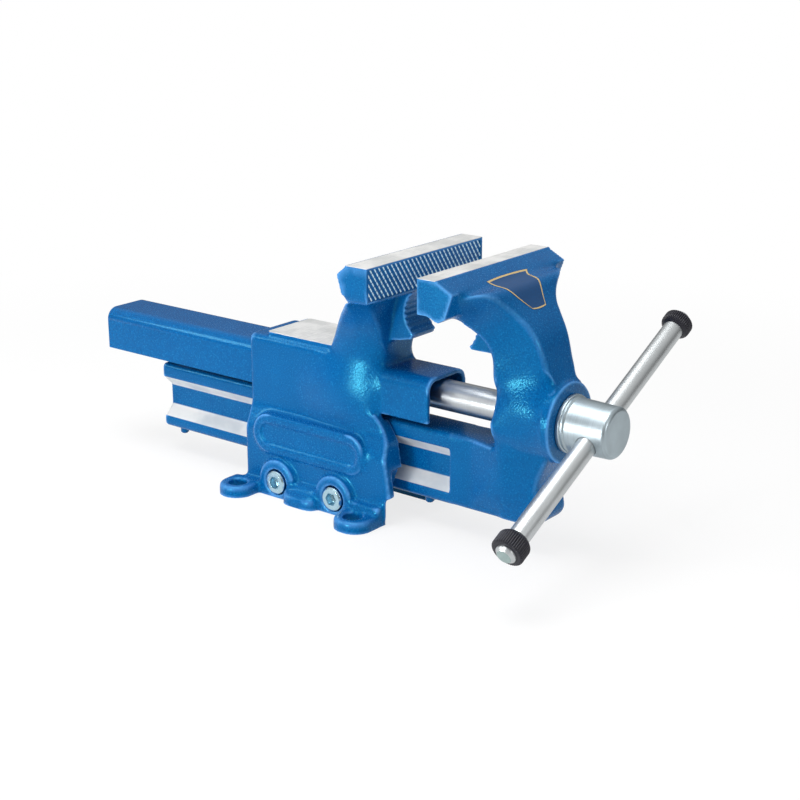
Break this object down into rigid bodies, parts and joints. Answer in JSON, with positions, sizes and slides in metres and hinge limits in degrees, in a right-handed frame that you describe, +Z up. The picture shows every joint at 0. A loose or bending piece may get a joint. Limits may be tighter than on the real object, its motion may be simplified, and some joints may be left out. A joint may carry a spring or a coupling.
{
  "type": "bench vise",
  "caption": "Bench vise: a fixed jaw with anvil and pipe jaws, and a sliding jaw on a grooved rail, moved by a screw spindle with a sliding T-handle.",
  "frame": {"origin": "centre of the bench bolt pattern, on the face that rests on the bench", "axes": "+X along the slide, from the fixed jaw towards the handle; +Z up; -Y the side with the clamp screw heads"},
  "size_m": [0.4197, 0.2002, 0.177],
  "materials": {
    "blue_paint": "glossy hammered paint",
    "bright_steel": "satin turned",
    "zinc_steel": "zinc plated",
    "bronze": "machined",
    "black_rubber": "ribbed"
  },
  "bodies": {
    "base": {"fixed_body": "blue_paint", "spindle_cover": "blue_paint", "cover_screws": "zinc_steel", "spindle_nut": "bronze", "nut_screw": "zinc_steel", "clamp_screws": "zinc_steel"},
    "sliding_jaw": {"movable_jaw": "blue_paint", "stop_pins": "bright_steel", "spindle_bush": "bronze"},
    "spindle": {"spindle": "bright_steel", "spindle_head": "bright_steel", "head_pin": "bright_steel", "thrust_washer": "bright_steel", "spindle_collar": "bright_steel", "collar_pin": "bright_steel"},
    "handle": {"handle_bar": "bright_steel", "handle_ring_near": "black_rubber", "handle_ring_far": "black_rubber"}
  },
  "joints": [
    {"name": "jaw_slide", "type": "slide", "parent": "base", "child": "sliding_jaw", "axis": [1, 0, 0], "range_m": [-0.0378, 0.115]},
    {"name": "spindle_turn", "type": "hinge", "parent": "sliding_jaw", "child": "spindle", "pos_m": [0.2, 0, 0.087], "axis": [1, 0, 0], "range_deg": [-2721, 8279]},
    {"name": "handle_slide", "type": "slide", "parent": "spindle", "child": "handle", "axis": [0, 0.8957, 0.4446], "range_m": [-0.077, 0.077]}
  ],
  "couplings": [
    {"joint": "jaw_slide", "follows": "spindle_turn", "m_per_rad": 0.00079577}
  ]
}
